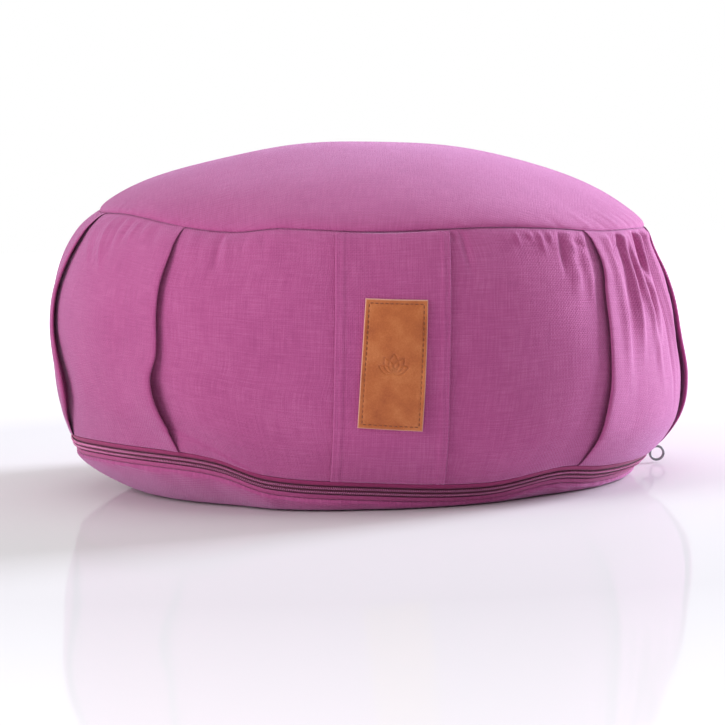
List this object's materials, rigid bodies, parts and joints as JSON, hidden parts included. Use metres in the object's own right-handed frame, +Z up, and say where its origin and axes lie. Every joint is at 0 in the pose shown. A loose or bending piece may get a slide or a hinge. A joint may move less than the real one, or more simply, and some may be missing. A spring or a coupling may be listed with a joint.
{
  "type": "zafu meditation cushion",
  "caption": "Round filled meditation cushion with a domed top, a pleated cotton side, a front strip with a leather patch, and a zip round its foot.",
  "frame": {"origin": "centre of the cushion's bounding box, on the ground under its flat base", "axes": "+Z up, the front panel with the leather patch faces -Y, the zip slider is towards +X"},
  "size_m": [0.3361, 0.3387, 0.1793],
  "materials": {
    "cotton": "matte plain weave",
    "leather": "smooth vegetable tanned",
    "zip_tape": "woven polyester tape",
    "zip_coil": "polyester coil",
    "gunmetal": "plated zinc casting"
  },
  "bodies": {
    "root": {"side_band": "cotton", "top_panel": "cotton", "base_panel": "cotton", "front_panel": "cotton", "leather_patch": "leather", "zip_tape_upper": "zip_tape", "zip_tape_lower": "zip_tape", "zip_chain": "zip_coil", "zip_slider": "gunmetal", "zip_pull": "gunmetal"}
  },
  "joints": []
}
